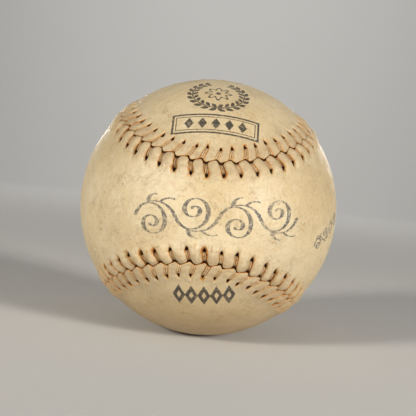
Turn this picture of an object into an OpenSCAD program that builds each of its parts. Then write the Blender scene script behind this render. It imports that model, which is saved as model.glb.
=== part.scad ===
// Softball: a kapok core, wound with yarn and dipped in latex, under two equal
// figure-eight panels of leather that are sewn together along one closed seam.
// The origin is the centre of the ball, +Z is up and the seam's travel is to +X at the front.
// The front panel's waist faces -Y and lies along X. The back panel's waist faces +Y
// and stands along Z, so its two lobes are the top and the bottom of the ball.

/* [Ball] */
// Diameter of the ball over the leather, away from the seam
ball_d = 97; // [85:0.5:130]
// Thickness of the leather
leather_t = 1.4; // [1.3:0.1:2]
// Thickness of the latex coat under the leather
latex_t = 0.7; // [0.3:0.1:1.5]
// Thickness of the yarn that is wound over the core
winding_t = 8; // [3:0.5:15]

/* [Seam] */
// Width of a panel at its waist, measured over the curve of the ball
waist_w = 35.2; // [30:0.2:42]
// Height of the ridge that the stitches pull up along the seam
ridge_h = 0.5; // [0.1:0.05:0.8]
// How much more the ridge swells beside a panel's own waist
waist_puff_h = 0.2; // [0:0.05:0.4]
// Distance from the seam to the crest of the ridge
ridge_reach = 1.5; // [1.2:0.1:2]
// Distance from the seam to where the ridge has run out
ridge_end = 8; // [7:0.1:9]
// Gap between the edges of the two panels
seam_gap = 0.24; // [0.1:0.02:0.4]
// Width of the notch in the gap where a pair of strands goes down
notch_w = 1.5; // [1.4:0.05:1.6]
// Depth of that notch under the lips beside it
notch_depth = 0.7; // [0.65:0.05:0.75]

/* [Stitches] */
// Number of stitches along the seam
stitch_count = 108; // [96:4:116]
// Diameter of one strand of the waxed thread
strand_d = 0.5; // [0.35:0.05:0.5]
// Gap between the two strands that lie side by side in each leg of a stitch
strand_gap = 0.04; // [0.02:0.02:0.1]
// Distance from the seam to the row of holes in each panel
hole_reach = 4.4; // [4.2:0.1:5.2]
// Length of a hole along the leg that comes out of it
hole_l = 2.2; // [2:0.1:2.4]
// Depth of a hole under the ridge
hole_depth = 1.4; // [1.35:0.05:1.45]
// Width of the crease that a leg presses into the leather, between its lips
crease_w = 1.7; // [1.6:0.05:1.8]
// Room beside a pair of strands at the bottom of that crease
crease_room = 0.06; // [0.04:0.01:0.1]
// Depth of that crease under the crown of the ridge
crease_depth = 0.4; // [0.4:0.05:0.6]
// Depth of that crease where the leg comes out of its hole
mouth_depth = 0.55; // [0.5:0.05:0.7]
// How far the front panel's legs lean along the seam from gap to hole, on average
front_lean = 1.1; // [0:0.1:2]
// How much more the front panel's legs lean where they lean most
front_lean_swing = 1.4; // [0:0.1:1.8]
// How far the back panel's legs lean along the seam from gap to hole, on average
back_lean = 1.6; // [0:0.1:2]
// How much more the back panel's legs lean where they lean most
back_lean_swing = 1.9; // [0:0.1:2]

/* [Hidden] */
leather = [0.80, 0.73, 0.60];
waxed_thread = [0.72, 0.58, 0.40];
smooth = 240;
strand_smooth = 40;
radian = 180 / PI;
front = -1;
back = 1;

// Radii of the layers, each seated on the one inside it
ball_r = ball_d / 2;
latex_r = ball_r - leather_t;
winding_r = latex_r - latex_t;
core_r = winding_r - winding_t;

// The seam is [a sin s + b sin 3s, -c cos 2s, a cos s - b cos 3s], which stays on the
// sphere when a + b = 1 and c = 2 sqrt(ab). The waist's width sets a - b.
waist_angle = waist_w / ball_d * radian;
a_share = (1 + sin(waist_angle)) / 2;
b_share = 1 - a_share;
c_share = 2 * sqrt(a_share * b_share);
speed_share = sqrt(a_share ^ 2 + 9 * b_share ^ 2 + 8 * a_share * b_share);
even_share = a_share * b_share / (4 * speed_share ^ 2) * radian;
seam_l = 2 * PI * ball_r * speed_share;
pitch = seam_l / stitch_count;

// Stations along the seam are lengths from the middle of the front waist
waist_phase_share = -0.35;
back_lag_share = 0.72;
stations = [for (k = [0 : stitch_count - 1]) k * pitch];

// Rings of points in each panel, from its edge inwards
ring_reach = [0, ridge_reach, hole_reach - hole_l / 2, hole_reach, hole_reach + hole_l / 2, ridge_end];
ridge_shares = [0.45, 1, 0.85, 0.6, 0.3, 0];
lip_share = 0.8;
floor_depths = [notch_depth, crease_depth, mouth_depth, hole_depth];
fine_rings = 5;
inner_rings = 3;
fan_share = 2 / 3;
spine_share = 1.2;

// Shape of a leg: how deep its ends are sunk, how far its middle stands over the lips of
// its crease, and how far it stops short of the middle of the gap and of its hole
gap_sink = 0.62;
hole_sink = 0.45;
leg_lift = 0.08;
gap_inset = 0.09;
hole_inset = 0.2;

function wrap(i, n) = (i % n + n) % n;

function unit(v) = v / norm(v);

// The seam's angle at a length along it, evened out so that the stitches are equally spaced
function seam_angle(along) =
    let (even = 360 * along / seam_l)
    even + even_share * sin(4 * even);

function seam_point(s) = [
    a_share * sin(s) + b_share * sin(3 * s),
    -c_share * cos(2 * s),
    a_share * cos(s) - b_share * cos(3 * s)];

function seam_travel(s) = unit([
    a_share * cos(s) + 3 * b_share * cos(3 * s),
    2 * c_share * sin(2 * s),
    3 * b_share * sin(3 * s) - a_share * sin(s)]);

// A point at a length along the seam, a distance across it (over the back panel if positive)
// and a height over the ball
function on_ball(along, across, height) =
    let (s = seam_angle(along))
    let (dir = seam_point(s))
    let (turn = across / ball_r * radian)
    (ball_r + height) * (cos(turn) * dir + sin(turn) * cross(dir, seam_travel(s)));

// How near a place on the seam is to the panel's own waist, from 0 at a lobe to 1
function waist_share(side, along) =
    side == front ? cos(seam_angle(along)) ^ 2 : sin(seam_angle(along)) ^ 2;

function ridge_top(side, along) = ridge_h + waist_puff_h * waist_share(side, along);

// Where a panel's own pair of strands goes down into the gap, and where the other panel's does
function dive(side, k) =
    stations[k] + waist_phase_share * pitch + (side == back ? back_lag_share * pitch : 0);

// How far a leg leans at a length along the seam, and how many times longer that makes it
function lean(side, along) =
    let (swing = sin(2 * seam_angle(along)))
    side == front ? front_lean + front_lean_swing * swing : back_lean - back_lean_swing * swing;
function slant(side, along) = norm([hole_reach, lean(side, along)]) / hole_reach;

// Columns of points in one stitch, as lengths from the panel's own dive. A leaning leg is cut
// slantwise by the seam, so its crease is wider along the seam than straight across the leg.
function columns(side, k) =
    let (wider = slant(side, dive(side, k)))
    let (floor_edge = (strand_d + strand_gap / 2 + crease_room / 2) * wider)
    let (lip = floor_edge + crease_w / 2 - strand_d - strand_gap / 2 - crease_room / 2)
    let (other = (side == front ? back_lag_share : 1 - back_lag_share) * pitch)
    let (crown = side == front ? (lip + other) / 2 : (other + pitch - lip) / 2)
    [-lip, -floor_edge, floor_edge, lip, min(crown, other), max(crown, other)];
column_count = 6;
lip_columns = 4;
fine_count = column_count * stitch_count;
function is_floor(c) = c == 1 || c == 2;
function other_column(side) = side == front ? 5 : 4;
function turning_column(side) = side == front ? 4 : 5;

// Half of the gap at a column, wider in the notches
function edge_reach(side, c) =
    is_floor(c) || c == other_column(side) ? notch_w / 2 : seam_gap / 2;

// How far a column lies under the crown of the tongue between two legs
function column_drop(side, ring, c, top) =
    let (lips = (1 - lip_share) * top)
    ring == fine_rings - 1 ? 0
    : is_floor(c) ? lips + floor_depths[ring]
    : c < lip_columns ? lips
    : 0;

// A point of a panel's stitched band
function band_point(side, ring, i) =
    let (k = floor(i / column_count))
    let (c = i % column_count)
    let (across = ring == 0 ? edge_reach(side, c) : ring_reach[ring])
    let (foot = dive(side, k) + columns(side, k)[c])
    let (along = foot + lean(side, foot) * across / hole_reach)
    let (top = ridge_shares[ring] * ridge_top(side, along))
    on_ball(along, side * across, top - column_drop(side, ring, c, top));

// Steps from the middle of a panel's own waist to its lobe's tip, folded over its spine
function fold(side, j) =
    let (half = stitch_count / 2)
    let (quarter = stitch_count / 4)
    let (step = wrap(side == front ? j : quarter - j, stitch_count))
    step <= quarter ? step : step < 3 * quarter ? half - step : step - stitch_count;
fan_step = round(fan_share * stitch_count / 4);
function spine_step(side, j) = max(-fan_step, min(fan_step, fold(side, j)));

// A point of a panel's spine, which runs from the middle of one lobe to the other
function spine_point(side, step) =
    let (swing = 90 * spine_share * step / fan_step)
    side == front
    ? ball_r * [sin(swing), -cos(swing), 0]
    : ball_r * [0, cos(swing), sin(swing)];

// A point between the stitched band and the spine
function inner_point(side, m, j) =
    let (rim = on_ball(stations[j], side * ridge_end, 0))
    let (spine = spine_point(side, spine_step(side, j)))
    ball_r * unit(rim + (spine - rim) * m / (inner_rings + 1));

// Numbers of the points in a panel's list
coarse_start = fine_rings * fine_count;
spine_start = coarse_start + (inner_rings + 1) * stitch_count;
centre_number = spine_start + 2 * fan_step + 1;
function fine_no(ring, i) = ring * fine_count + wrap(i, fine_count);
function coarse_no(m, j) = coarse_start + m * stitch_count + wrap(j, stitch_count);
function spine_no(side, j) = spine_start + fan_step + spine_step(side, wrap(j, stitch_count));

function panel_points(side) = [
    for (ring = [0 : fine_rings - 1])
        for (i = [0 : fine_count - 1])
            band_point(side, ring, i),
    for (m = [0 : inner_rings])
        for (j = [0 : stitch_count - 1])
            inner_point(side, m, j),
    for (step = [-fan_step : fan_step])
        spine_point(side, step),
    [0, 0, 0]];

// Two triangles of a strip, or one where the strip has closed to a point
function strip(near_0, near_1, far_0, far_1) =
    far_0 == far_1
    ? [[near_0, near_1, far_0]]
    : [[near_0, near_1, far_1], [near_0, far_1, far_0]];

// Faces of the front panel, in order as seen from outside
function panel_faces(side) =
    let (turning = turning_column(side))
    let (ahead = side == front ? 0 : 1)
    [
    for (i = [0 : fine_count - 1])
        [fine_no(0, i + 1), fine_no(0, i), centre_number],
    for (ring = [0 : fine_rings - 2])
        for (i = [0 : fine_count - 1])
            each strip(fine_no(ring, i), fine_no(ring, i + 1), fine_no(ring + 1, i), fine_no(ring + 1, i + 1)),
    for (k = [0 : stitch_count - 1])
        let (first = k * column_count)
        let (last = fine_rings - 1)
        each [
            for (c = [0 : column_count - 1])
                let (rim = coarse_no(0, k + ahead + (c < turning ? 0 : 1)))
                [fine_no(last, first + c), fine_no(last, first + c + 1), rim],
            [fine_no(last, first + turning), coarse_no(0, k + ahead + 1), coarse_no(0, k + ahead)]],
    for (m = [0 : inner_rings - 1])
        for (j = [0 : stitch_count - 1])
            each strip(coarse_no(m, j), coarse_no(m, j + 1), coarse_no(m + 1, j), coarse_no(m + 1, j + 1)),
    for (j = [0 : stitch_count - 1])
        each strip(coarse_no(inner_rings, j), coarse_no(inner_rings, j + 1), spine_no(side, j), spine_no(side, j + 1))
    ];

function turned_over(faces) = [for (f = faces) [f[2], f[1], f[0]]];

// Leather panel: a solid from its sewn outside to the centre, less the ball that it is glued on
module cover(side) {
    faces = panel_faces(side);
    color(leather)
        difference() {
            polyhedron(panel_points(side), side == front ? faces : turned_over(faces), convexity = 8);
            sphere(r = latex_r, $fn = smooth);
        }
}

module layer(outer_r, inner_r) {
    difference() {
        sphere(r = outer_r, $fn = smooth);
        if (inner_r > 0)
            sphere(r = inner_r, $fn = smooth);
    }
}

// One strand of a leg: an arc that comes out of a hole, lies in its crease and
// goes down into the gap under the other panel's edge
module leg_strand(side, k, lane) {
    reach = hole_reach - hole_inset;
    start = dive(side, k);
    gap_end = on_ball(start, side * gap_inset, -gap_sink);
    hole_end = on_ball(start + lean(side, start) * reach / hole_reach, side * reach, -hole_sink);
    chord = hole_end - gap_end;
    middle = (gap_end + hole_end) / 2;
    crown = ridge_top(side, start);
    across = unit(cross(unit(middle), unit(chord)));
    outward = cross(unit(chord), across);
    rise = ball_r + lip_share * crown + leg_lift - norm(middle);
    arc_r = (norm(chord) ^ 2 / 4 + rise ^ 2) / (2 * rise);
    half_angle = asin(norm(chord) / (2 * arc_r));
    foot = middle + (rise - arc_r) * outward + lane * (strand_d + strand_gap) / 2 * across;
    forward = cross(across, outward);
    multmatrix([
        [outward.x, forward.x, across.x, foot.x],
        [outward.y, forward.y, across.y, foot.y],
        [outward.z, forward.z, across.z, foot.z]])
        rotate([0, 0, -half_angle])
            rotate_extrude(angle = 2 * half_angle, $fn = strand_smooth * 2)
                translate([arc_r, 0])
                    circle(d = strand_d, $fn = strand_smooth);
}

// The strands of one needle's thread, in the left or right lane of every leg
module thread(lane) {
    color(waxed_thread)
        for (k = [0 : stitch_count - 1]) {
            leg_strand(front, k, lane);
            leg_strand(back, k, lane);
        }
}

module kapok_core() {
    color("wheat")
        layer(core_r, 0);
}

module yarn_winding() {
    color("ivory")
        layer(winding_r, core_r);
}

module latex_coat() {
    color("tan")
        layer(latex_r, winding_r);
}

module cover_front() {
    cover(front);
}

module cover_back() {
    cover(back);
}

module thread_first_needle() {
    thread(-1);
}

module thread_second_needle() {
    thread(1);
}

kapok_core();
yarn_winding();
latex_coat();
cover_front();
cover_back();
thread_first_needle();
thread_second_needle();
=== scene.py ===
# %% [markdown]
# # An old leather softball
# The ball has a kapok core, a yarn winding and a latex coat under two figure-eight panels
# of leather, sewn together along one seam with two waxed threads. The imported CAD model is
# loaded first. It is the fixed frame: every new piece takes its size and place from it.

# %% Load the frame
import math

import bmesh
import bpy
import numpy as np
from mathutils import Matrix, Vector


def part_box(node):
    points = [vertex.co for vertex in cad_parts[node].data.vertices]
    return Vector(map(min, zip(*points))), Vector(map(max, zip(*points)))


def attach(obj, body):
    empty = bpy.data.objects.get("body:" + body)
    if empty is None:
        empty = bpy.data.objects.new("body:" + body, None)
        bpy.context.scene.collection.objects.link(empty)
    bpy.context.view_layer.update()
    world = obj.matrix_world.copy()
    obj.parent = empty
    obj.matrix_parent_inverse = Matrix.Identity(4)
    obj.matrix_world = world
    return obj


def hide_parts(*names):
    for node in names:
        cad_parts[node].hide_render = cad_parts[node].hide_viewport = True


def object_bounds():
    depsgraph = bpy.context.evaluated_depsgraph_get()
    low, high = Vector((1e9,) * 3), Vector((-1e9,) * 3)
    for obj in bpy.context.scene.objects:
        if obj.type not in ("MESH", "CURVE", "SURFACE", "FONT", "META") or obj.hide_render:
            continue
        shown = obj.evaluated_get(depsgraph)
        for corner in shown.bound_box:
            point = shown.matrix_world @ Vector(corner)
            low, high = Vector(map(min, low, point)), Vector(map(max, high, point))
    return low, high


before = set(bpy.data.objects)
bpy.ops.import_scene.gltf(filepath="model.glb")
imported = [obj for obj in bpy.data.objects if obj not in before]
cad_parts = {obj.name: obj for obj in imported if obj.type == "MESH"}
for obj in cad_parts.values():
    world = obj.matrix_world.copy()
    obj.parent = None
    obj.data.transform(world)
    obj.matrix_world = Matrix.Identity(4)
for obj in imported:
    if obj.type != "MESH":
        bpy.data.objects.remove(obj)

mm = 0.001
cad_low, cad_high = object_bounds()
ball_r = (cad_high.x - cad_low.x) / 2 / mm
latex_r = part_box("latex_coat")[1].x / mm
bpy.ops.object.select_all(action="DESELECT")
print(f"ball {2 * ball_r:.1f} mm across, leather {ball_r - latex_r:.2f} mm thick")

# %% [markdown]
# The camera stands seven ball radii from the centre, a little over the middle of the ball,
# and leans to one side, so that the seam crosses the picture as in the photograph. Its
# three axes are given in the ball's frame. The picture is taken to be 416 pixels wide.

# %% Camera
picture_px = 416
camera_right = Vector((0.9952, 0.0211, 0.0952))
camera_back = Vector((0.0172, -0.9990, 0.0415)).normalized()
camera_up = camera_back.cross(camera_right).normalized()
camera_right = camera_up.cross(camera_back)
camera_distance = 7 * ball_r * mm
silhouette_px = 127.9
ball_centre_px = (208.3, 207.2)

bpy.ops.object.camera_add(location=camera_back * camera_distance)
camera = bpy.context.object
camera.name = "camera"
camera.rotation_euler = Matrix((camera_right, camera_up, camera_back)).transposed().to_euler()
focal_px = silhouette_px * math.sqrt((camera_distance / ball_r / mm) ** 2 - 1)
camera.data.lens = camera.data.sensor_width * focal_px / picture_px
camera.data.shift_x = (0.5 * picture_px - ball_centre_px[0]) / picture_px
camera.data.shift_y = (ball_centre_px[1] - 0.5 * picture_px) / picture_px
camera.data.clip_start = 0.01
bpy.context.scene.camera = camera
print(f"lens {camera.data.lens:.1f} mm, {camera_distance:.3f} m from the centre of the ball")

# %% [markdown]
# The stage is a plain pale floor that curves up into a back wall, as in a photographer's
# sweep. A plane is added, its far edge is extruded up, and the corner is bevelled round.
# Seen from below the floor is clear, so that the underside of the ball can be looked at.

# %% Floor and backdrop
floor_size = 3.0
wall_height = 1.6
sweep_radius = 0.7
sweep_segments = 16
far_edge = 0.49 * floor_size


def pick_edges(wanted):
    """Selects only those edges of the edited mesh whose two ends are both wanted."""
    bpy.ops.mesh.select_all(action="DESELECT")
    mesh = bpy.context.object.data
    for edge in bmesh.from_edit_mesh(mesh).edges:
        edge.select_set(all(wanted(vertex.co) for vertex in edge.verts))
    bmesh.update_edit_mesh(mesh)


bpy.ops.mesh.primitive_plane_add(size=floor_size)
floor = bpy.context.object
floor.name = "floor"
bpy.ops.object.mode_set(mode="EDIT")
pick_edges(lambda place: place.y > far_edge)
bpy.ops.mesh.extrude_region_move(TRANSFORM_OT_translate={"value": (0, 0, wall_height)})
pick_edges(lambda place: place.y > far_edge and place.z < 0.5 * wall_height)
bpy.ops.mesh.bevel(offset=sweep_radius, segments=sweep_segments)
bpy.ops.object.mode_set(mode="OBJECT")
floor.location = (0, 0, -ball_r * mm)
bpy.ops.object.shade_smooth()
print(f"floor {floor_size:g} m wide at z = {-ball_r:.1f} mm")

# %% [markdown]
# Two soft lights stand in front, one to the left and one to the right and both a little
# over the ball, so that they rake the seam from its two ends and leave the middle of the
# ball soft. Two weak ones light its back, one lights the wall, and a dim pale world does
# the rest. Each area light is aimed by turning its own -Z axis towards its target, and its
# spread is narrowed as by a grid, so that the floor under it isn't burnt out. Colours are
# shown as they are, without a film look, so that the cream of the leather keeps its warmth.

# %% Lights
warm = (1.0, 0.96, 0.88)
mild = (1.0, 0.97, 0.92)
white = (1.0, 1.0, 1.0)


def soft_light(name, place, size, power, colour, spread, target=(0, 0, 0)):
    bpy.ops.object.light_add(type="AREA", location=place)
    lamp = bpy.context.object
    lamp.name = name
    lamp.rotation_euler = (Vector(target) - Vector(place)).to_track_quat("-Z", "Y").to_euler()
    lamp.data.size = size
    lamp.data.energy = power
    lamp.data.color = colour
    lamp.data.spread = math.radians(spread)


soft_light("key_light", (-0.70, -0.77, 0.36), 0.20, 1.02, warm, 75)
soft_light("fill_light", (0.76, -0.76, 0.30), 0.24, 1.32, mild, 75)
soft_light("back_light_left", (-0.38, 1.04, 0.22), 0.20, 0.15, mild, 60)
soft_light("back_light_right", (0.38, 1.04, 0.22), 0.20, 0.15, mild, 60)
soft_light("wall_light", (0.0, 0.70, 1.45), 1.20, 4.6, white, 80, (0, 1.5, 0.1))

world = bpy.data.worlds.new("studio")
world.use_nodes = True
sky = world.node_tree.nodes["Background"].inputs
sky["Color"].default_value = (0.97, 0.98, 1.0, 1)
sky["Strength"].default_value = 0.20
bpy.context.scene.world = world
bpy.context.scene.view_settings.view_transform = "Standard"
print("five soft lights and a dim world")

# %% [markdown]
# The seam is one closed curve on the sphere. With a + b = 1 and c = 2 sqrt(ab) the point
# (a sin s + b sin 3s, -c cos 2s, a cos s - b cos 3s) never leaves the unit sphere, and the
# waist's width sets a - b. Lengths along the seam are evened out, so that the stitches are
# equally spaced. Every piece of leather and thread is first laid out flat, in lengths along
# the seam, across it and above the ball, and is then wrapped on the ball by on_ball.

# %% The seam curve
waist_w = 35.2
stitch_count = 108
a_share = (1 + math.sin(waist_w / (2 * ball_r))) / 2
b_share = 1 - a_share
c_share = 2 * math.sqrt(a_share * b_share)
speed_share = math.sqrt(a_share**2 + 9 * b_share**2 + 8 * a_share * b_share)
even_share = a_share * b_share / (4 * speed_share**2)
seam_l = 2 * math.pi * ball_r * speed_share
pitch = seam_l / stitch_count
front = -1
back = 1


def unit(v):
    return v / np.linalg.norm(v, axis=-1, keepdims=True)


def seam_angle(along):
    even = 2 * math.pi * along / seam_l
    return even + even_share * np.sin(4 * even)


def on_ball(along, across, height):
    """Points over the ball, in mm: across is positive over the back panel."""
    s = seam_angle(along)
    way = np.stack([a_share * np.sin(s) + b_share * np.sin(3 * s),
                    -c_share * np.cos(2 * s),
                    a_share * np.cos(s) - b_share * np.cos(3 * s)], -1)
    travel = unit(np.stack([a_share * np.cos(s) + 3 * b_share * np.cos(3 * s),
                            2 * c_share * np.sin(2 * s),
                            3 * b_share * np.sin(3 * s) - a_share * np.sin(s)], -1))
    turn = (across / ball_r)[..., None]
    return (ball_r + height)[..., None] * (np.cos(turn) * way + np.sin(turn) * np.cross(way, travel))


def waist_share(side, along):
    """How near a place on the seam is to the panel's own waist, from 0 at a lobe to 1."""
    s = seam_angle(along)
    return np.cos(s) ** 2 if side == front else np.sin(s) ** 2


print(f"seam {seam_l:.1f} mm long, a stitch every {pitch:.2f} mm")

# %% [markdown]
# Two needles were worked by hand, so no two stitches are alike. Each panel's legs go down
# into the gap a little after the other panel's, lean along the seam by an amount that swells
# and fades as the panel turns, and end in holes that are never quite in line. Seeded random
# numbers give each leg its own place, tightness and stain.

# %% The stitches
chance = np.random.default_rng(12)
stations = np.arange(stitch_count) * pitch
front_phase_share = -0.35
back_lag_share = 0.72
hole_reach = 4.4
mean_lean = {front: 1.1, back: 1.6}
lean_swing = {front: 1.4, back: -1.9}
seam_jog = 0.6
place_spread = 0.10
lean_spread = 0.20
reach_spread = 0.20

dive = {}
lean = {}
reach = {}
tightness = {}
stain = {}
puff = {}
for side in (front, back):
    lag = back_lag_share * pitch if side == back else 0
    moved = chance.normal(0, place_spread, stitch_count)
    dive[side] = stations + front_phase_share * pitch + lag + moved
    swing = lean_swing[side] * np.sin(2 * seam_angle(dive[side]))
    lean[side] = mean_lean[side] + swing + chance.normal(0, lean_spread, stitch_count)
    moved = chance.normal(0, reach_spread, stitch_count)
    reach[side] = hole_reach + np.clip(moved, -2 * reach_spread, 2 * reach_spread)
    tightness[side] = np.clip(chance.normal(1, 0.16, stitch_count), 0.7, 1.3)
    stain[side] = np.clip(chance.gamma(3.0, 0.28, stitch_count), 0.25, 1.9)
    puff[side] = np.clip(chance.normal(1, 0.25, stitch_count), 0.5, 1.5)


def of_leg(values, k, period=0):
    """The value of leg k, where the count runs on round the closed seam."""
    return values[k % stitch_count] + period * (k // stitch_count)


def jog(along):
    """How far the gap swerves towards the back panel: away from each leg that goes down."""
    knots = np.concatenate([dive[side] + lean[side] * seam_jog / reach[side] for side in (front, back)])
    swerves = np.repeat([-seam_jog, seam_jog], stitch_count)
    return np.interp(along, knots, swerves, period=seam_l)


print(f"{2 * stitch_count} legs, leans from {min(lean[front].min(), lean[back].min()):.1f} "
      f"to {max(lean[front].max(), lean[back].max()):.1f} mm")

# %% [markdown]
# The stitches pull the leather up into a ridge along the seam. Beside a panel's own waist
# the leather is gathered, so it stands in round tongues with the legs deep between them,
# and beside its lobes it is stretched into flat tabs with the legs lying on top. The
# functions here give the height of the leather for a distance x along the seam from the
# nearest leg and a distance d across it, and w says which of the two forms it takes.

# %% Height of the leather
crest_reach = 1.6
ridge_end = 8.0
lobe_ridge_h = 0.5
waist_ridge_more = 0.22
lobe_crease_d = 0.26
waist_crease_more = 1.00
leg_half_w = 0.68
waist_squeeze = 0.22
pit_depth = 1.15
pit_half_w = 0.50
pit_head_l = 0.60
pit_tail_l = 0.98
dent_depth = 0.07
waves_per_length = 4
least_leather = 0.2


def ease(value, low, high):
    share = np.clip((value - low) / (high - low), 0, 1)
    return share * share * (3 - 2 * share)


def arch(share):
    """Rises from 0 to 1 as a quarter of a circle does, and stays there."""
    return np.sqrt(1 - (1 - np.clip(share, 0, 1)) ** 2)


def leg_side(w):
    """Half the width of a leg's crease, which is squeezed beside a waist."""
    return leg_half_w * (1 - waist_squeeze * w)


def crown(d, w):
    """The ridge, before anything is pressed into it."""
    share = np.clip((d - crest_reach) / (ridge_end - crest_reach), 0, 1)
    return (lobe_ridge_h + waist_ridge_more * w) * (1 + np.cos(math.pi * share)) / 2


def crease_depth(d, w, hole, tight):
    run_out = 1 - ease(d, hole - 0.1, hole + 2.2 + 1.2 * w)
    return (lobe_crease_d + waist_crease_more * w) * tight * run_out


def pit(x, d, w, hole, tight):
    """The share of its depth that a hole has: a drop, widest where the seam is steep."""
    beyond = d - hole - 0.10
    size = (0.75 + 0.25 * tight) * (1 + 2.6 * w * (1 - w))
    half_w = pit_half_w * size * (1 - 0.4 * np.clip(beyond / 1.6, 0, 1))
    half_l = np.where(beyond > 0, pit_tail_l * size, pit_head_l)
    return np.exp(-(((x / half_w) ** 2 + (beyond / half_l) ** 2) ** 1.3))


def leather_height(x, d, q, w, hole, tight, plump):
    """x from the leg, d from the seam, q from the panel's edge."""
    to_next = np.abs(x) / (pitch / 2)
    side_rise = 0.60 + 1.15 * w
    between = arch((np.abs(x) - leg_side(w) + 0.10) / side_rise)
    height = crown(d, w)
    height = height - (0.08 + 0.80 * w) * (1 - arch(q / (0.25 + 1.30 * w)))
    height = height - crease_depth(d, w, hole, tight) * (1 - between)
    swell = (0.09 + 0.33 * w) * plump * np.sin(math.pi / 2 * np.clip(to_next, 0, 1)) ** 2
    height = height + swell * ease(d, 0, 2.0) * (1 - ease(d, 3.0, ridge_end))
    height = height - pit_depth * pit(x, d, w, hole, tight)
    return np.maximum(height, latex_r - ball_r + least_leather)


def dents(points):
    """Shallow old dents in the sphere, where waves that run in many directions add up."""
    waves = np.random.default_rng(5)
    total = np.zeros(points.shape[:-1])
    for length, share in ((52, 0.50), (34, 0.40), (21, 0.25), (13, 0.12)):
        for _ in range(waves_per_length):
            way = unit(waves.normal(size=3))
            total += share * np.sin(points @ way * 2 * math.pi / length + waves.uniform(0, 6.3))
    return -dent_depth * np.maximum(total - 0.3, 0) ** 1.5


print(f"ridge {crown(crest_reach, 0):.2f} to {crown(crest_reach, 1):.2f} mm high")

# %% [markdown]
# Each panel is one closed shell: its outside, the cut edge in the gap and the inside that
# is glued on the latex. It starts as a flat grid, like the strip of leather beside the seam
# laid out straight, with 16 columns to a stitch that crowd together at the legs. The rows
# run from the middle of the inside, up the cut edge and over the outside. In the middle of
# the panel the strip meets itself along a spine, where its points are merged.

# %% Panel rows and columns
columns_per_stitch = 16
column_count = columns_per_stitch * stitch_count
crowding = 0.5
outer_rows = 24
inner_rows = 26
inside_reaches = [ridge_end, 4.0]
inside_shares = [1, 2 / 3, 1 / 3]
wall_rows = 2
row_count = len(inside_shares) + len(inside_reaches) + wall_rows + outer_rows + inner_rows
row_reach = np.interp(np.arange(outer_rows), [0, 4, 18, 23], [0, 0.7, 5.0, ridge_end])
half = stitch_count / 2
quarter = stitch_count / 4
fan_steps = round(2 / 3 * quarter)
spine_swing = math.radians(108)
edge_rounds = 12
glue_gap = 0.01


def spine_point(side, j):
    """Where a panel's column j, in stitches round the seam, meets the panel's spine."""
    step = (j if side == front else quarter - j) % stitch_count
    first, middle = step <= quarter, step < 3 * quarter
    folded = np.where(first, step, np.where(middle, half - step, step - stitch_count))
    swing = spine_swing * np.clip(folded, -fan_steps, fan_steps) / fan_steps
    flat = np.zeros_like(swing)
    if side == front:
        return np.stack([np.sin(swing), -np.cos(swing), flat], -1)
    return np.stack([flat, np.cos(swing), np.sin(swing)], -1)


def panel_layout(side):
    """Places and masks of every point of a panel, as arrays of rows by columns."""
    i = np.arange(column_count + 1)
    k = i // columns_per_stitch
    t = (i % columns_per_stitch) / columns_per_stitch
    f = t - crowding * np.sin(2 * math.pi * t) / (2 * math.pi)
    start = of_leg(dive[side], k, seam_l)
    end = of_leg(dive[side], k + 1, seam_l)
    foot = start + (end - start) * f
    skew = of_leg(lean[side], k) * (1 - f) + of_leg(lean[side], k + 1) * f
    near = np.where(f < 0.5, k, k + 1)
    x = np.where(f < 0.5, foot - start, foot - end)
    w = waist_share(side, foot)
    hole = of_leg(reach[side], near)
    tight = of_leg(tightness[side], near)
    plump = of_leg(puff[side], k)
    dirt = of_leg(stain[side], near)
    corner = arch((np.abs(x) - leg_half_w + 0.12) / (0.35 + 1.20 * w))
    gap = 0.02 + (0.03 + 0.14 * w) * np.exp(-((x / 0.9) ** 2))
    edge = gap
    for _ in range(edge_rounds):
        edge = side * jog(foot + skew * edge / hole) + gap + (0.14 + 0.70 * w) * (1 - corner)
    q = row_reach[:, None]
    d = edge + q * (1 - edge / ridge_end)
    height = leather_height(x, d, q, w, hole, tight, plump)
    spine = i + side * round(-front_phase_share * columns_per_stitch)
    return dict(side=side, foot=foot, skew=skew, x=x, w=w, hole=hole, tight=tight, dirt=dirt, edge=edge,
                d=d, q=np.broadcast_to(q, d.shape), height=height, spine=spine)


def panel_points(lay):
    """The wrapped points of a panel, row by row, with what its finish needs at each point."""
    side = lay["side"]
    floor_height = latex_r - ball_r + glue_gap
    flat = np.zeros(column_count + 1)
    spine = spine_point(side, lay["spine"] / columns_per_stitch)

    def along(d):
        return lay["foot"] + lay["skew"] * np.clip(d / lay["hole"], -0.5, 1)

    def towards_spine(share, height):
        rim = unit(on_ball(along(ridge_end), flat + side * ridge_end, flat))
        return (ball_r + height) * unit(rim + (spine - rim) * share)

    rows = []
    reaches = []
    for share in inside_shares:
        rows.append(towards_spine(share, floor_height))
        reaches.append(flat + ridge_end)
    for d in inside_reaches:
        rows.append(on_ball(along(d), flat + side * d, flat + floor_height))
        reaches.append(flat + d)
    for share in np.linspace(1, 0, wall_rows, endpoint=False):
        d = lay["edge"] + 0.10 * share
        height = lay["height"][0] + (floor_height - lay["height"][0]) * share
        rows.append(on_ball(along(d), side * d, height))
        reaches.append(d)
    inside_count = len(rows)
    for d, height in zip(lay["d"], lay["height"]):
        rows.append(on_ball(along(d), side * d, height))
        reaches.append(d)
    for m in range(1, inner_rows + 1):
        rows.append(towards_spine(m / inner_rows, 0))
        reaches.append(flat + ridge_end + m)
    points = np.stack(rows)
    outside = points[inside_count:]
    outside += unit(outside) * dents(outside)[..., None]
    return points, np.stack(reaches), inside_count


most_triangles = 2 * (row_count - 1) * column_count
print(f"{row_count} rows by {column_count} columns, {most_triangles} triangles at most")

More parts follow.
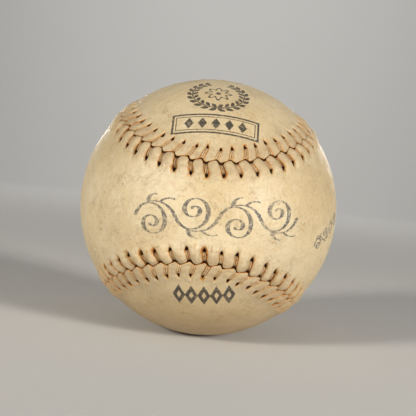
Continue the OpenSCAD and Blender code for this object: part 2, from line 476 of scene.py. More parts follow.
# %% [markdown]
# The finish needs to know where the leather is pricked, pressed and stained, so five masks
# are kept as attributes of the points: pit is painted shade in the holes, the notches, the gap
# and on the inside and the cut edge, line is dirt and painted shade in the fold at both sides
# of a leg with a painted shadow line along the panel's edge, stain is the amber that bled from
# the thread, band fades out from the seam, and groove is where wrinkles run out from the holes.
# A UV map holds the flat layout.

# %% Build the panels
mask_names = ("pit", "line", "stain", "band", "groove")
strip_unit = 100


def panel_masks(lay, reaches, inside_count):
    """Masks by row and column: painted shade, stain and band on the inside, all clear beyond the
    stitched band.
    """
    masks = {name: np.zeros(reaches.shape) for name in mask_names}
    # Painted shade on the inside and on the cut edge that shows in the gap.
    masks["pit"][:inside_count] = 0.8
    masks["stain"][:inside_count] = 1
    masks["band"][:inside_count] = 1
    rows = slice(inside_count, inside_count + outer_rows)
    d, q, x, w, hole, tight, dirt = (lay[name] for name in ("d", "q", "x", "w", "hole", "tight", "dirt"))
    on_leg = 1 - ease(d, hole - 0.5, hole + 0.5)
    # Painted shade in the holes, in the notch where a leg dives into the gap, and as a shadow line along
    # the gap.
    notch_shade = np.exp(-((q / 0.55) ** 2)) * np.exp(-((x / 0.80) ** 2)) * w**1.5
    gap = np.exp(-((q / 0.10) ** 2)) * (0.40 + 0.60 * w * np.exp(-((x / 1.1) ** 2)))
    masks["pit"][rows] = np.clip(2.6 * pit(x, d, w, hole, tight) + notch_shade + gap, 0, 1)
    # Dirt and painted shade in the fold beside each leg, and a painted shadow line along the panel's
    # edge.
    fold = np.exp(-(((np.abs(x) - leg_side(w) - 0.05) / 0.18) ** 2)) * on_leg
    rim = np.exp(-((q / 0.20) ** 2))
    dirt_and_shade = np.maximum((0.90 + 0.10 * w) * fold, 0.42 * rim)
    masks["line"][rows] = np.clip((0.58 + 0.42 * dirt) * dirt_and_shade, 0, 1)
    beside = np.exp(-(((np.abs(x) - leg_side(w)) / (0.25 + 0.15 * w)) ** 2)) * on_leg
    halo = np.exp(-((x / 0.95) ** 2 + ((d - hole - 0.4) / 1.4) ** 2))
    lip = np.exp(-((q / 0.45) ** 2)) * 0.5
    masks["stain"][rows] = np.clip(dirt * (0.80 * beside + 1.15 * halo + lip), 0, 1)
    masks["band"][rows] = 1 - ease(d, hole - 1.2, hole + 2.0)
    masks["groove"][rows] = np.exp(-(((d - hole - 1.5) / 1.6) ** 2))
    return masks


def build_panel(name, side):
    lay = panel_layout(side)
    points, reaches, inside_count = panel_points(lay)
    bpy.ops.mesh.primitive_grid_add(x_subdivisions=column_count, y_subdivisions=row_count - 1, size=1)
    panel = bpy.context.object
    panel.name = name
    mesh = panel.data
    flat = np.zeros(len(mesh.vertices) * 3)
    mesh.vertices.foreach_get("co", flat)
    flat = flat.reshape(-1, 3)
    column = np.rint((flat[:, 0] + 0.5) * column_count).astype(int)
    row = np.rint((flat[:, 1] + 0.5) * (row_count - 1)).astype(int)
    mesh.vertices.foreach_set("co", (points[row, column] * mm).ravel())
    for mask, values in panel_masks(lay, reaches, inside_count).items():
        mesh.attributes.new(mask, "FLOAT", "POINT").data.foreach_set("value", values[row, column])
    corner = np.zeros(len(mesh.loops), int)
    mesh.loops.foreach_get("vertex_index", corner)
    strip = np.stack([lay["foot"][column], reaches[row, column]], -1)[corner] / strip_unit
    mesh.uv_layers[0].name = "strip"
    mesh.uv_layers[0].data.foreach_set("uv", strip.ravel())
    bpy.ops.object.mode_set(mode="EDIT")
    bpy.ops.mesh.select_all(action="SELECT")
    bpy.ops.mesh.remove_doubles(threshold=0.001 * mm)
    bpy.ops.mesh.normals_make_consistent(inside=False)
    bpy.ops.object.mode_set(mode="OBJECT")
    bpy.ops.object.shade_smooth()
    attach(panel, "root")
    bpy.ops.object.select_all(action="DESELECT")
    triangles = sum(len(face.vertices) - 2 for face in mesh.polygons)
    print(f"{name}: {len(mesh.vertices)} points, {triangles} triangles")
    return panel


front_panel = build_panel("leather_panel_front", front)
back_panel = build_panel("leather_panel_back", back)
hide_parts("cover_front")
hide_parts("cover_back")

# %% [markdown]
# Each leg of a stitch shows two strands side by side, one from each needle. One strand is
# modelled by extruding an eight-sided circle along X, an array modifier makes a strand for
# every leg, and each copy is then bent into its own crease: up out of the gap, along the
# floor of the crease and down into its hole.

# %% Waxed thread
strand_half_w = 0.31
strand_half_h = 0.19
strand_gap = 0.10
deep_strand_share = 0.80
hole_strand_share = 0.70
strand_sides = 8
strand_rings = 9


def straight_strand(name):
    """A strand one unit long and one unit in radius, along X."""
    bpy.ops.mesh.primitive_circle_add(vertices=strand_sides, radius=1, fill_type="NGON",
                                      rotation=(0, math.pi / 2, 0))
    bpy.ops.object.transform_apply(location=False, rotation=True, scale=False)
    strand = bpy.context.object
    strand.name = name
    bpy.ops.object.mode_set(mode="EDIT")
    bpy.ops.mesh.select_all(action="SELECT")
    step = 1 / (strand_rings - 1)
    for _ in range(strand_rings - 1):
        bpy.ops.mesh.extrude_region_move(TRANSFORM_OT_translate={"value": (step, 0, 0)})
    bpy.ops.mesh.select_all(action="SELECT")
    bpy.ops.mesh.normals_make_consistent(inside=False)
    bpy.ops.object.mode_set(mode="OBJECT")
    return strand


def leg_path(side, k, run):
    """Distance from the seam and height over the ball at a share of a leg's run."""
    hole = reach[side][k]
    w = waist_share(side, dive[side][k])
    start = seam_jog + 0.10 + 0.08 * w
    d = start + (hole - 0.12 - start) * run
    bed = crown(d, w) - crease_depth(d, w, hole, tightness[side][k]) + strand_half_h
    height = bed - (0.60 + 0.45 * w) * (1 - ease(run, 0, 0.08 + 0.12 * w)) - 1.0 * ease(run, 0.82, 1)
    return d, np.maximum(height, latex_r - ball_r + strand_half_h)


def bend_strand(straight, side, k, lane):
    """The wrapped points of one strand of a leg."""
    run = (1 - np.cos(math.pi * straight[:, 0])) / 2
    d, height = leg_path(side, k, run)
    little = 0.01
    ahead = leg_path(side, k, np.clip(run + little, 0, 1))
    behind = leg_path(side, k, np.clip(run - little, 0, 1))
    slope = unit(np.stack([ahead[0] - behind[0], ahead[1] - behind[1]], -1))
    wide = 1 - (1 - deep_strand_share) * waist_share(side, dive[side][k])
    wide = wide * (1 - (1 - hole_strand_share) * ease(run, 0.70, 0.98))
    lift = straight[:, 2] * strand_half_h
    d = d - slope[:, 1] * lift
    height = height + slope[:, 0] * lift
    sideways = wide * (lane * (strand_half_w + strand_gap / 2) + straight[:, 1] * strand_half_w)
    along = dive[side][k] + lean[side][k] * np.clip(d / reach[side][k], -0.5, 1) + sideways
    return on_ball(along, side * d, height)


def build_thread(name, lane):
    thread = straight_strand(name)
    single = len(thread.data.vertices)
    array = thread.modifiers.new("legs", "ARRAY")
    array.count = 2 * stitch_count
    array.relative_offset_displace = (0, 3, 0)
    bpy.ops.object.modifier_apply(modifier=array.name)
    mesh = thread.data
    flat = np.zeros(len(mesh.vertices) * 3)
    mesh.vertices.foreach_get("co", flat)
    straight = flat.reshape(-1, 3)[:single]
    legs = [(side, k) for side in (front, back) for k in range(stitch_count)]
    points = np.concatenate([bend_strand(straight, side, k, lane) for side, k in legs])
    mesh.vertices.foreach_set("co", (points * mm).ravel())
    # Each leg's stain, darker as painted shade where the leg lies deep beside the panel's own waist.
    leg_dirt_and_shade = [stain[side][k] * (0.4 + 0.5 * waist_share(side, dive[side][k])) for side, k in legs]
    turns = np.arctan2(straight[:, 1], -straight[:, 2]) / (2 * math.pi)
    masks = {"top": np.tile(straight[:, 2], len(legs)), "run": np.tile(straight[:, 0], len(legs)),
             "turn": np.tile(turns, len(legs)), "dirt": np.repeat(leg_dirt_and_shade, single)}
    for mask, values in masks.items():
        mesh.attributes.new(mask, "FLOAT", "POINT").data.foreach_set("value", values)
    bpy.ops.object.shade_smooth()
    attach(thread, "root")
    bpy.ops.object.select_all(action="DESELECT")
    print(f"{name}: {len(legs)} strands of {single} points")
    return thread


first_thread = build_thread("waxed_thread_first_needle", -1)
second_thread = build_thread("waxed_thread_second_needle", 1)
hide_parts("thread_first_needle")
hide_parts("thread_second_needle")

# %% [markdown]
# Finishes are built from nodes. A Wire stands for the output of a node, and a sum that is
# written with wires adds the nodes that work it out, so a finish reads like its formulas.

# %% Wires and sums


class Wire:
    """The output of a node, with which sums can be written."""

    def __init__(self, socket):
        self.socket = socket

    def __add__(self, other):
        return calc("ADD", self, other)

    def __sub__(self, other):
        return calc("SUBTRACT", self, other)

    def __mul__(self, other):
        return calc("MULTIPLY", self, other)

    def __truediv__(self, other):
        return calc("DIVIDE", self, other)

    def __abs__(self):
        return calc("ABSOLUTE", self)


def tree_of(values):
    """The node tree of the first wire among some values."""
    return next(value.socket.id_data for value in values if isinstance(value, Wire))


def add_node(tree, kind, **settings):
    made = tree.nodes.new("ShaderNode" + kind)
    for name, value in settings.items():
        setattr(made, name, value)
    return made


def plug(socket, value):
    """Links a wire to a socket, or sets the socket to a constant."""
    if isinstance(value, Wire):
        socket.id_data.links.new(value.socket, socket)
    else:
        socket.default_value = value


def calc(operation, *values, clamp=False):
    made = add_node(tree_of(values), "Math", operation=operation, use_clamp=clamp)
    for socket, value in zip(made.inputs, values):
        plug(socket, value)
    return Wire(made.outputs[0])


def fold(operation, values):
    """Runs an operation through a list, each time on the last result and the next value."""
    total, *others = values
    for value in others:
        total = calc(operation, total, value)
    return total


def far(x, y):
    """How far away a point is that lies x across and y up."""
    return calc("SQRT", x * x + y * y)


print("wires can be added, subtracted, multiplied and divided")

# %% [markdown]
# These helpers each add the node of one pattern, fade, mixture or bump and hand back its
# output. Colours are written as they look on a screen and turned into linear light.

# %% Patterns and colours


def noise(place, scale, detail=2.0, roughness=0.5, distortion=0.0):
    made = add_node(tree_of([place]), "TexNoise")
    for name, value in (("Vector", place), ("Scale", scale), ("Detail", detail),
                        ("Roughness", roughness), ("Distortion", distortion)):
        plug(made.inputs[name], value)
    return Wire(made.outputs[0])


def fade(value, low, high, at_low=0.0, at_high=1.0):
    """Goes smoothly from at_low to at_high as the value goes from low to high."""
    made = add_node(tree_of([value]), "MapRange", interpolation_type="SMOOTHSTEP")
    for socket, given in zip(made.inputs, (value, low, high, at_low, at_high)):
        plug(socket, given)
    return Wire(made.outputs[0])


def tint(share, first, second):
    """Mixes two colours: all of the first at share 0 and all of the second at 1."""
    made = add_node(tree_of([share]), "Mix", data_type="RGBA")
    for number, value in ((0, share), (6, first), (7, second)):
        plug(made.inputs[number], value)
    return Wire(made.outputs[2])


def on_vectors(operation, vector, other):
    made = add_node(tree_of([vector]), "VectorMath", operation=operation)
    plug(made.inputs[0], vector)
    plug(made.inputs[1], other)
    return Wire(made.outputs["Value" if operation == "DOT_PRODUCT" else "Vector"])


def scaled(vector, factors):
    return on_vectors("MULTIPLY", vector, factors)


def bump(height, distance):
    """height in mm counts for distance mm where it is 1."""
    made = add_node(tree_of([height]), "Bump")
    made.inputs["Distance"].default_value = distance * mm
    plug(made.inputs["Height"], height)
    return Wire(made.outputs["Normal"])


def screen(red, green, blue):
    """A colour as seen on a screen, from 0 to 255, as linear light."""
    shares = [value / 255 for value in (red, green, blue)]
    return tuple(s / 12.92 if s < 0.04045 else ((s + 0.055) / 1.055) ** 2.4 for s in shares) + (1,)


print("cream leather in linear light:", [round(value, 3) for value in screen(241, 221, 182)])

# %% [markdown]
# An effect that several finishes share is a group: a node tree of its own with named
# sockets. It only puts out colours, masks and values, and each finish keeps its own shader,
# so that the export can still read it.

# %% Groups and finishes


def make_group(name, inputs, outputs):
    """An empty node group: the tree, its inputs as wires and its output sockets, by name."""
    tree = bpy.data.node_groups.new(name, "ShaderNodeTree")
    for socket, value in inputs.items():
        kind = "NodeSocketVector" if isinstance(value, tuple) else "NodeSocketFloat"
        tree.interface.new_socket(name=socket, in_out="INPUT", socket_type=kind).default_value = value
    for socket, kind in outputs.items():
        tree.interface.new_socket(name=socket, in_out="OUTPUT", socket_type=f"NodeSocket{kind}")
    given = tree.nodes.new("NodeGroupInput").outputs
    wires = {socket: Wire(given[socket]) for socket in inputs}
    return tree, wires, tree.nodes.new("NodeGroupOutput").inputs


def use(group, **values):
    """Places a group in the tree of its values, and sets or links its sockets."""
    made = add_node(tree_of(values.values()), "Group", node_tree=group)
    for name, value in values.items():
        plug(made.inputs[name.replace("_", " ")], value)
    return {socket.name: Wire(socket) for socket in made.outputs}


def new_finish(name):
    """A new material and the object coordinates in it, in mm instead of metres."""
    material = bpy.data.materials.new(name)
    material.use_nodes = True
    coordinates = add_node(material.node_tree, "TexCoord")
    return material, scaled(Wire(coordinates.outputs["Object"]), (1 / mm, 1 / mm, 1 / mm))


def mask_of(material, name):
    made = add_node(material.node_tree, "Attribute", attribute_name=name)
    return Wire(made.outputs["Fac"])


def set_finish(material, **values):
    """Sets or links sockets of the material's shader, and gives the material back."""
    shader = material.node_tree.nodes["Principled BSDF"]
    for name, value in values.items():
        plug(shader.inputs[name.replace("_", " ")], value)
    return material


print("groups and finishes start from make_group and new_finish")

# %% [markdown]
# Leather, latex and kapok carry the same mottling, which is a broad patchiness with a finer
# one inside it, and leather and latex the same specks, which are the small dark spots of
# ground-in dirt. Each is a node group with its own sockets, so it is built once and placed
# in each finish with its own values.

# %% Shared effects
at_centre = (0.0, 0.0, 0.0)


def build_mottle():
    tree, given, made = make_group("mottle", {"Place": at_centre, "Size": 20.0},
                                   {"Broad": "Float", "Fine": "Float"})
    scale = calc("DIVIDE", 1.0, given["Size"])
    plug(made["Broad"], noise(given["Place"], scale, 3.0, 0.55, 0.4))
    plug(made["Fine"], noise(given["Place"], scale * 5.5, 4.0, 0.6))
    return tree


def build_specks():
    """Small dark spots: the ragged cores of scattered cells, most of which are left out."""
    tree, given, made = make_group("specks", {"Place": at_centre, "Spacing": 2.0, "Radius": 0.16},
                                   {"Mask": "Float"})
    cells = add_node(tree, "TexVoronoi")
    plug(cells.inputs["Vector"], given["Place"])
    plug(cells.inputs["Scale"], calc("DIVIDE", 1.0, given["Spacing"]))
    ragged = Wire(cells.outputs["Distance"]) + noise(given["Place"], 2.2) * 0.16
    chosen = fade(Wire(cells.outputs["Color"]), 0.62, 0.72)
    plug(made["Mask"], fade(ragged, given["Radius"], 0.05) * chosen)
    return tree


mottle = build_mottle()
specks = build_specks()
print("groups:", mottle.name, specks.name)

# %% [markdown]
# The ornaments on the ball are plain and generic: scrolls of pen strokes, a wreath, a
# banner frame and chains of lozenges, all in worn grey ink. Each is a distance in mm from
# the middle of its lines, worked out by nodes, so it stays sharp however near one looks. A
# scroll is a chain of arcs. The pen_arc group gives the distance to one arc whose line
# swells where the pen went up or down and thins where it went sideways.

# %% Ink groups


def build_print_place():
    """Where a point lies on a print, in mm along two axes that cross at its centre."""
    tree, given, made = make_group("print_place", {"Place": at_centre, "Right": (1.0, 0.0, 0.0),
                                                   "Up": (0.0, 0.0, 1.0), "Outward": (0.0, -1.0, 0.0)},
                                   {"X": "Float", "Y": "Float", "Facing": "Float"})
    for axis, name in (("Right", "X"), ("Up", "Y")):
        turn = calc("ARCSINE", on_vectors("DOT_PRODUCT", given["Place"], given[axis]) / ball_r)
        plug(made[name], turn * ball_r)
    outward = on_vectors("DOT_PRODUCT", given["Place"], given["Outward"])
    plug(made["Facing"], fade(outward, 0.05 * ball_r, 0.15 * ball_r))
    return tree


def build_pen_arc():
    tree, given, made = make_group("pen_arc", {"X": 0.0, "Y": 0.0, "Centre X": 0.0, "Centre Y": 0.0,
                                               "Radius": 5.0, "Middle": 0.0, "Half Sweep": 1.0,
                                               "Thin": 0.2, "Thick": 0.8},
                                   {"Distance": "Float"})
    x = given["X"] - given["Centre X"]
    y = given["Y"] - given["Centre Y"]
    turn = calc("ARCTAN2", y, x)
    off = calc("ARCCOSINE", calc("COSINE", turn - given["Middle"]))
    past = calc("MAXIMUM", off - given["Half Sweep"], 0.0) * given["Radius"]
    beside = far(x, y) - given["Radius"]
    upright = calc("COSINE", turn)
    half_w = given["Thin"] + upright * upright * (given["Thick"] - given["Thin"])
    plug(made["Distance"], far(past, beside) - half_w)
    return tree


def build_worn_ink():
    """Turns a distance to a line into ink: ragged edges, rubbed through in patches."""
    tree, given, made = make_group("worn_ink", {"Place": at_centre, "Distance": 1.0, "Facing": 1.0,
                                                "Wear": 0.5}, {"Ink": "Float"})
    ragged = (noise(given["Place"], 1.7, 3.0, 0.6) - 0.5) * 0.45
    line = fade(given["Distance"] + ragged, 0.09, -0.09)
    rubbed = noise(given["Place"], 1.1, 4.0, 0.75)
    wear = given["Wear"] + (noise(given["Place"], 0.16, 2.0, 0.5) - 0.5) * 0.7
    kept = fade(rubbed - wear * 0.36, 0.18, 0.42, 0.30, 1.0)
    plug(made["Ink"], line * kept * given["Facing"])
    return tree


print_place = build_print_place()
pen_arc = build_pen_arc()
worn_ink = build_worn_ink()
print("groups:", print_place.name, pen_arc.name, worn_ink.name)

# %% [markdown]
# A pen stroke is written as a walk: a starting point, a heading, and a few bends, each a
# radius and a turn to the left in degrees. The walk is turned into arcs, whose centres
# follow from where the pen is and where it points. A running scroll is one such drawing,
# with a wave, a curl and two leaves, repeated in a row with every other one upside down.

# %% Pen strokes and scrolls


def pen_walk(start, heading, bends):
    """The arcs of a stroke: centre, radius, middle angle and half sweep of each."""
    x, y = start
    heading = math.radians(heading)
    arcs = []
    for radius, turn in bends:
        turn = math.radians(turn)
        hand = math.copysign(1, turn)
        centre = (x - hand * radius * math.sin(heading), y + hand * radius * math.cos(heading))
        first = heading - hand * math.pi / 2
        arcs.append((centre, radius, first + turn / 2, abs(turn) / 2))
        heading += turn
        x = centre[0] + radius * math.cos(first + turn)
        y = centre[1] + radius * math.sin(first + turn)
    return arcs


def draw_strokes(x, y, strokes, thin, thick):
    arcs = [arc for stroke in strokes for arc in pen_walk(*stroke)]
    return fold("MINIMUM", [use(pen_arc, X=x, Y=y, Centre_X=centre[0], Centre_Y=centre[1], Radius=radius,
                                Middle=middle, Half_Sweep=half_sweep, Thin=thin, Thick=thick)["Distance"]
                            for centre, radius, middle, half_sweep in arcs])


def axes_at(azimuth, elevation, tilt):
    """The right, up and outward axes of a print, from its place on the ball in degrees."""
    a, e, t = (math.radians(angle) for angle in (azimuth, elevation, tilt))
    outward = Vector((math.sin(a) * math.cos(e), -math.cos(a) * math.cos(e), math.sin(e)))
    right = Vector((math.cos(a), math.sin(a), 0))
    up = outward.cross(right)
    turned = right * math.cos(t) + up * math.sin(t)
    return tuple(turned), tuple(outward.cross(turned)), tuple(outward)


def at_print(place, azimuth, elevation, tilt=0):
    """x and y on a print, and whether the point lies on its side of the ball."""
    right, up, outward = axes_at(azimuth, elevation, tilt)
    found = use(print_place, Place=place, Right=right, Up=up, Outward=outward)
    return found["X"], found["Y"], found["Facing"]


def running_scroll(x, y, size, waves, thin, thick):
    """Distance to a row of waves, each 14.5 mm long at size 1, half of them upside down."""
    step = 14.5
    rise = 4.6
    x = x / size
    y = y / size
    wave = calc("FLOOR", x / step + waves / 2)
    wave = calc("MINIMUM", calc("MAXIMUM", wave, 0.0), waves - 1.0)
    x = x - (wave + (1 - waves) / 2) * step
    y = y * calc("COSINE", wave * math.pi)
    bow = ((step / 2) ** 2 + rise**2) / (2 * rise)
    slope = math.degrees(math.asin(step / 2 / bow))
    strokes = [
        ((-step / 2, 0), slope, [(bow, -2 * slope)]),
        ((-5.4, 2.6), 40, [(5.6, -150), (4.0, -130), (2.7, -170), (1.5, -170)]),
        ((-2.6, 4.7), 75, [(3.2, -75)]),
        ((2.2, 4.7), 42, [(4.6, -62)]),
    ]
    return draw_strokes(x, y, strokes, thin / size, thick / size) * size


def waist_scroll(place):
    x, y, facing = at_print(place, 5.4, -1.6, 3.0)
    return running_scroll(x, y, 1.0, 4, 0.20, 0.80), facing


def rim_scroll(place):
    x, y, facing = at_print(place, 66.0, -4.0, 30)
    return running_scroll(x, y, 0.38, 4, 0.18, 0.46), facing


print("scrolls:", waist_scroll.__name__, rim_scroll.__name__)

# %% [markdown]
# The other prints need no pen. Straight ones are the largest of a few distances, round ones
# are worked out by angle, and a print is the nearest of all its parts.

# %% The other prints


def lozenges(x, y, spacing, half_w, half_h, end):
    """A row of lozenges: negative inside, positive outside, in mm."""
    across = abs(calc("WRAP", x, spacing / 2, -spacing / 2))
    slant = math.hypot(half_w, half_h)
    distance = across * (half_h / slant) + abs(y) * (half_w / slant) - half_w * half_h / slant
    return calc("MAXIMUM", distance, abs(x) - end)


def line_of(distance, half_w):
    return abs(distance) - half_w


def banner_frame(place):
    """An outline and a finer inline, bowed up in the middle, round a row of lozenges."""
    x, y, facing = at_print(place, 0.8, 38.4, 0.5)
    bow, half_w, half_h, inset = 0.002, 14.8, 4.0, 1.15
    y = y + x * x * bow
    box = calc("MAXIMUM", abs(x) - half_w, abs(y) - half_h)
    row = lozenges(x, y, 4.6, 1.6, 2.4, 11.5)
    return fold("MINIMUM", [line_of(box, 0.36), line_of(box + inset, 0.16), row]), facing


def wreath(place):
    """Two laurel sprigs, with leaves in pairs along a ring open at the top, round a flower."""
    x, y, facing = at_print(place, 0.6, 58.5)
    ring, leaves, open_at, lean_out = 9.2, 11, math.radians(158), math.radians(33)
    out = far(x, y)
    turn = calc("ARCTAN2", abs(x), y * -1.0)
    past = (turn - open_at) * ring
    beside = abs(out - ring)
    lx = calc("WRAP", turn, math.pi / leaves, 0.0) * ring - 1.3
    ly = beside - 1.15
    long_way = lx * math.cos(lean_out) + ly * math.sin(lean_out)
    wide_way = ly * math.cos(lean_out) - lx * math.sin(lean_out)
    leaf = abs(wide_way) - calc("SUBTRACT", 0.72, long_way * long_way * 0.36)
    stem = beside - 0.24
    sprig = calc("MAXIMUM", calc("MINIMUM", leaf, stem), past)
    flower = out - (calc("COSINE", turn * 8.0) * 0.9 + 3.6)
    heart = out - 0.9
    return fold("MINIMUM", [sprig, line_of(flower, 0.42), heart]), facing


def lozenge_chain(place):
    """Lozenges drawn in outline, whose tips touch."""
    x, y, facing = at_print(place, 3.0, -36.2, 6)
    half_line_w = 0.62
    return line_of(lozenges(x, y, 4.3, 2.25, 4.4, 10.75) + half_line_w, half_line_w), facing


print("other prints:", banner_frame.__name__, wreath.__name__, lozenge_chain.__name__)

# %% [markdown]
# The leather itself is a node group of its own, because both panels wear it. Cream at the
# base, it is yellowed in patches, smudged grey by handling, darkened towards the bottom and a
# little towards the top as painted shade, veined with hairline creases, speckled and scuffed.
# Round the stitches the masks add up to one value, which takes the leather from cream through
# the amber and brown of the thread's stain to near black, the dirt and painted shade of the
# folds and the painted shade of the holes, notches and gap, and takes the sheen off it there.
# Its height gives the grain, the fine creases and the puckers that run out from the holes.

# %% Aged leather
pale, smudged, clouded, ochre, freckled = ((246, 233, 202), (172, 152, 122), (196, 160, 106),
                                           (212, 174, 112), (182, 146, 94))


def build_aged_leather():
    sockets = {"Place": at_centre, "Strip": at_centre} | {name.capitalize(): 0.0 for name in mask_names}
    tree, given, made = make_group("aged_leather", sockets,
                                   {"Colour": "Color", "Roughness": "Float", "Height": "Float"})
    place, band = given["Place"], given["Band"]

    def spots(place, spacing, radius):
        return use(specks, Place=place, Spacing=spacing, Radius=radius)["Mask"]

    patches = use(mottle, Place=place, Size=26.0)
    colour = tint(fade(patches["Broad"], 0.32, 0.70), screen(241, 221, 182), screen(230, 205, 158))
    colour = tint(fade(patches["Fine"], 0.48, 0.78, 0.0, 0.38), colour, screen(216, 184, 130))
    for shade, share, low, high, *texture in (
            (pale, 0.55, 0.52, 0.72, 0.22, 5.0, 0.62, 0.8),
            (smudged, 0.42, 0.56, 0.76, 0.085, 5.0, 0.70, 1.2),
            (clouded, 0.20, 0.54, 0.80, 0.55, 5.0, 0.72),
            (ochre, 0.42, 0.50, 0.68, 0.34, 6.0, 0.78, 1.5),
            (freckled, 0.38, 0.54, 0.74, 1.5, 4.0, 0.75)):
        colour = tint(fade(noise(place, *texture), low, high, 0.0, share), colour, screen(*shade))
    axes = add_node(tree, "SeparateXYZ")
    plug(axes.inputs[0], place)
    # Painted shade: darker towards the bottom, and a little towards the top.
    painted_shade_level = Wire(axes.outputs["Z"]) + patches["Broad"] * 30.0
    colour = tint(fade(painted_shade_level, 2.0, -32.0, 0.0, 0.80), colour, screen(176, 148, 106))
    colour = tint(fade(painted_shade_level, 16.0, 44.0, 0.0, 0.28), colour, screen(204, 182, 142))
    veins = [fade(abs(noise(place, scale, 3.0, 0.55, 0.9) - 0.5), width, 0.0, 0.0, share)
             for scale, width, share in ((0.20, 0.010, 0.52), (0.46, 0.013, 0.36))]
    veins = fold("MAXIMUM", veins) * fade(noise(place, 0.16, 3.0), 0.42, 0.60, 0.15, 1.0)
    colour = tint(veins, colour, screen(152, 114, 60))
    large_dots = spots(scaled(place, (1.0, 1.15, 0.9)), 6.5, 0.13)
    fine_dots = spots(scaled(place, (1.1, 0.9, 1.0)), 1.3, 0.22)
    dots = fold("MAXIMUM", [spots(place, 2.4, 0.20) * 0.55, large_dots * 0.7, fine_dots * band * 0.7])
    colour = tint(dots, colour, screen(104, 82, 58))
    rust = spots(scaled(place, (0.9, 1.0, 1.1)), 7.0, 0.13)
    colour = tint(rust * 0.7, colour, screen(196, 126, 52))
    scuff = fade(noise(scaled(place, (0.35, 0.5, 2.6)), 0.9, 3.0, 0.6, 2.0), 0.66, 0.74)
    colour = tint(scuff * fade(patches["Broad"], 0.45, 0.6, 0.0, 0.35), colour, screen(120, 98, 72))

    streaks = noise(scaled(given["Strip"], (130.0, 34.0, 1.0)), 1.0, 3.0, 0.6)
    blotch = noise(place, 0.55, 4.0, 0.6)
    colour = tint(band * fade(blotch, 0.32, 0.66, 0.35, 0.95), colour, screen(202, 175, 134))
    run = given["Groove"] * fade(streaks, 0.50, 0.66, 0.0, 0.80)
    bleed = given["Stain"] * fade(blotch, 0.28, 0.62, 0.10, 0.62)
    # line adds dirt and painted shade in the folds, and Pit adds painted shade in the holes, notches and
    # gap.
    line = given["Line"] * fade(blotch, 0.30, 0.60, 0.45, 0.95)
    stain_and_shade = calc("MAXIMUM", calc("MAXIMUM", run * 0.5, bleed), calc("MAXIMUM", line, given["Pit"]))
    amber = tint(fade(noise(place, 0.16, 2.0), 0.52, 0.62), screen(212, 154, 70), screen(214, 134, 42))
    # Amber and brown stain, then near black where the painted shade of holes, notches, gap and folds is
    # deepest.
    for low, high, share, shade in ((0.12, 0.46, 0.88, amber), (0.40, 0.72, 0.95, screen(126, 72, 18)),
                                    (0.66, 0.92, 1.0, screen(22, 12, 5))):
        colour = tint(fade(stain_and_shade, low, high, 0.0, share), colour, shade)
    plug(made["Colour"], colour)
    dull = fade(patches["Fine"], 0.3, 0.7, 0.38, 0.52)
    charred = fade(stain_and_shade, 0.45, 0.85, 0.0, 0.45)
    plug(made["Roughness"], calc("ADD", dull + stain_and_shade * 0.12, charred, clamp=True))

    cells = add_node(tree, "TexVoronoi", feature="DISTANCE_TO_EDGE")
    plug(cells.inputs["Vector"], place)
    plug(cells.inputs["Scale"], 1.1)
    grain = noise(place, 1.9, 3.0, 0.55) * 0.10
    pores = fade(Wire(cells.outputs["Distance"]), 0.0, 0.14) * 0.035
    waves = noise(place, 0.33, 4.0, 0.6, 0.6) * 0.34
    puckers = streaks * given["Groove"] * 0.55
    rumples = blotch * band * 0.45
    soaked = [dots * -0.05, veins * -0.12]
    plug(made["Height"], fold("ADD", [grain, pores, waves, puckers, rumples, *soaked]))
    return tree


def leather_finish(name, prints, wear, ink_colour):
    """Aged leather with its prints laid over it."""
    material, place = new_finish(name)
    strip = add_node(material.node_tree, "UVMap", uv_map="strip")
    masks = {mask.capitalize(): mask_of(material, mask) for mask in mask_names}
    base = use(aged_leather, Place=place, Strip=Wire(strip.outputs["UV"]), **masks)
    inks = []
    for draw in prints:
        distance, facing = draw(place)
        inks.append(use(worn_ink, Place=place, Distance=distance, Facing=facing, Wear=wear)["Ink"])
    colour = tint(fold("MAXIMUM", inks) * 0.92, base["Colour"], ink_colour)
    return set_finish(material, Base_Color=colour, Roughness=base["Roughness"],
                      Normal=bump(base["Height"], 1.0))


aged_leather = build_aged_leather()
front_leather = leather_finish("leather_front", [waist_scroll, rim_scroll], 0.50,
                               screen(78, 76, 78))
back_leather = leather_finish("leather_back", [banner_frame, wreath, lozenge_chain], 0.22,
                              screen(44, 42, 43))
print("leather:", len(aged_leather.nodes), "nodes in the group,",
      len(front_leather.node_tree.nodes), "and", len(back_leather.node_tree.nodes), "in the finishes")

# %% [markdown]
# The thread was white once. Wax and hide grease have turned it to the colour of the
# leather on top, orange brown where the dirt collects. Its sides and its ends, where it dives
# into the gap and the holes, are darkened to a dark orange brown, partly dirt and partly
# painted shade, and legs that lie deep beside a panel's waist are darker as painted shade.
# Twisted plies show as a slanting ripple.

# %% Waxed thread finish


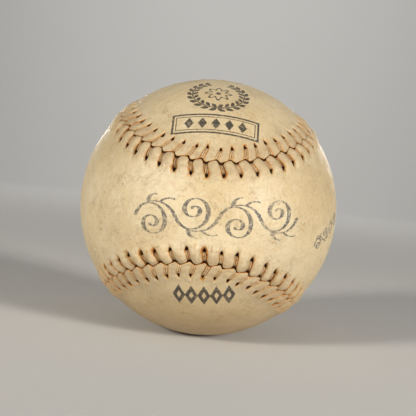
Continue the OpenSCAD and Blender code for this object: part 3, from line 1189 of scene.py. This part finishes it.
def thread_finish():
    material, place = new_finish("waxed_thread")
    top, run, turn, dirt = (mask_of(material, name) for name in ("top", "run", "turn", "dirt"))
    blotch = noise(place, 0.9, 4.0, 0.6)
    colour = tint(fade(blotch, 0.35, 0.7), screen(234, 213, 172), screen(212, 178, 124))
    # The dirt mask is each leg's stain, with painted shade for legs that lie deep in their creases.
    grime_and_shade = calc("MULTIPLY", dirt, fade(blotch, 0.30, 0.70, 0.05, 0.45), clamp=True)
    colour = tint(grime_and_shade, colour, screen(208, 158, 86))
    # Dirt and painted shade: darker at the strand's sides and at its ends, where it dives into the gap
    # and the hole.
    shaded_ends = calc("MAXIMUM", fade(run, 0.76, 0.95), fade(run, 0.24, 0.06, 0.0, 0.8))
    dark = calc("MAXIMUM", fade(top, 1.0, 0.50), shaded_ends * 0.75) * fade(blotch, 0.25, 0.6, 0.75, 1.0)
    colour = tint(dark * 0.9, colour, screen(178, 116, 46))
    colour = tint(dirt * dark * fade(blotch, 0.42, 0.66, 0.10, 0.65), colour, screen(104, 54, 14))
    plies = calc("SINE", (turn * 2.0 + run * 7.0) * (2 * math.pi))
    fibre = noise(scaled(place, (3.0, 3.0, 3.0)), 1.0, 3.0, 0.6)
    return set_finish(material, Base_Color=colour, Roughness=fade(fibre, 0.3, 0.7, 0.42, 0.62),
                      Normal=bump(plies * 0.02 + fibre * 0.08, 1.0))


thread_material = thread_finish()
print("thread:", len(thread_material.node_tree.nodes), "nodes")

# %% [markdown]
# Latex, yarn and kapok lie inside the ball, and each gets the finish that it would show if
# the cover were cut open: dull brown latex, crossing ripples of yarn, and pale tangled fibre.

# %% Inner layers


def latex_finish():
    material, place = new_finish("latex")
    patches = use(mottle, Place=place, Size=9.0)
    colour = tint(fade(patches["Broad"], 0.3, 0.7), screen(128, 92, 52), screen(92, 62, 34))
    dots = use(specks, Place=place, Spacing=3.0, Radius=0.2)["Mask"]
    return set_finish(material, Base_Color=tint(dots, colour, screen(52, 34, 20)),
                      Roughness=fade(patches["Fine"], 0.3, 0.7, 0.55, 0.75),
                      Normal=bump(patches["Fine"], 0.15))


def yarn_finish():
    """Wound yarn: two crossing sets of ripples, bent by a slow noise."""
    material, place = new_finish("yarn")
    ripples = []
    for way in ((0.8, 0.35, 0.48), (-0.3, 0.85, 0.43)):
        bent = on_vectors("DOT_PRODUCT", place, way) + noise(place, 0.05) * 14.0
        ripples.append(abs(calc("SINE", bent * 2.6)))
    height = fold("MAXIMUM", ripples)
    fibre = noise(place, 3.0, 3.0, 0.6)
    colour = tint(fade(height, 0.3, 0.95), screen(170, 150, 116), screen(232, 222, 196))
    colour = tint(fade(fibre, 0.5, 0.75, 0.0, 0.4), colour, screen(196, 172, 128))
    return set_finish(material, Base_Color=colour, Roughness=fade(fibre, 0.3, 0.7, 0.80, 0.95),
                      Normal=bump(height, 0.3))


def kapok_finish():
    material, place = new_finish("kapok")
    fibres = noise(scaled(place, (1.0, 0.25, 0.6)), 1.6, 6.0, 0.7, 3.0)
    patches = use(mottle, Place=place, Size=12.0)
    colour = tint(fade(fibres, 0.35, 0.65), screen(206, 184, 136), screen(236, 222, 186))
    colour = tint(fade(patches["Broad"], 0.5, 0.75, 0.0, 0.4), colour, screen(176, 146, 96))
    return set_finish(material, Base_Color=colour, Roughness=fade(fibres, 0.3, 0.7, 0.85, 1.0),
                      Normal=bump(fibres, 0.4))


print("inner layers:", latex_finish.__name__, yarn_finish.__name__, kapok_finish.__name__)

# %% [markdown]
# Now the pieces are dressed. New pieces get their finish as their only material, and the
# inner layers, which are CAD nodes, get theirs through the slots of their objects.

# %% Dress the pieces


def floor_finish():
    """Plain pale paper, clear where it is seen from below."""
    material = bpy.data.materials.new("floor_paper")
    material.use_nodes = True
    tree = material.node_tree
    set_finish(material, Base_Color=(0.56, 0.545, 0.52, 1), Roughness=0.9)
    either = add_node(tree, "MixShader")
    for socket, source in zip(either.inputs, (add_node(tree, "NewGeometry").outputs["Backfacing"],
                                              tree.nodes["Principled BSDF"].outputs[0],
                                              add_node(tree, "BsdfTransparent").outputs[0])):
        tree.links.new(source, socket)
    tree.links.new(either.outputs[0], tree.nodes["Material Output"].inputs["Surface"])
    return material


def wear_finish(piece, material):
    piece.data.materials.clear()
    piece.data.materials.append(material)


def repaint(node, material):
    """Gives a CAD node a new finish through its object's material slots."""
    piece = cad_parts[node]
    for slot in piece.material_slots:
        slot.link = "OBJECT"
        slot.material = material


wear_finish(front_panel, front_leather)
wear_finish(back_panel, back_leather)
wear_finish(first_thread, thread_material)
wear_finish(second_thread, thread_material)
wear_finish(floor, floor_finish())
repaint("latex_coat", latex_finish())
repaint("yarn_winding", yarn_finish())
repaint("kapok_core", kapok_finish())
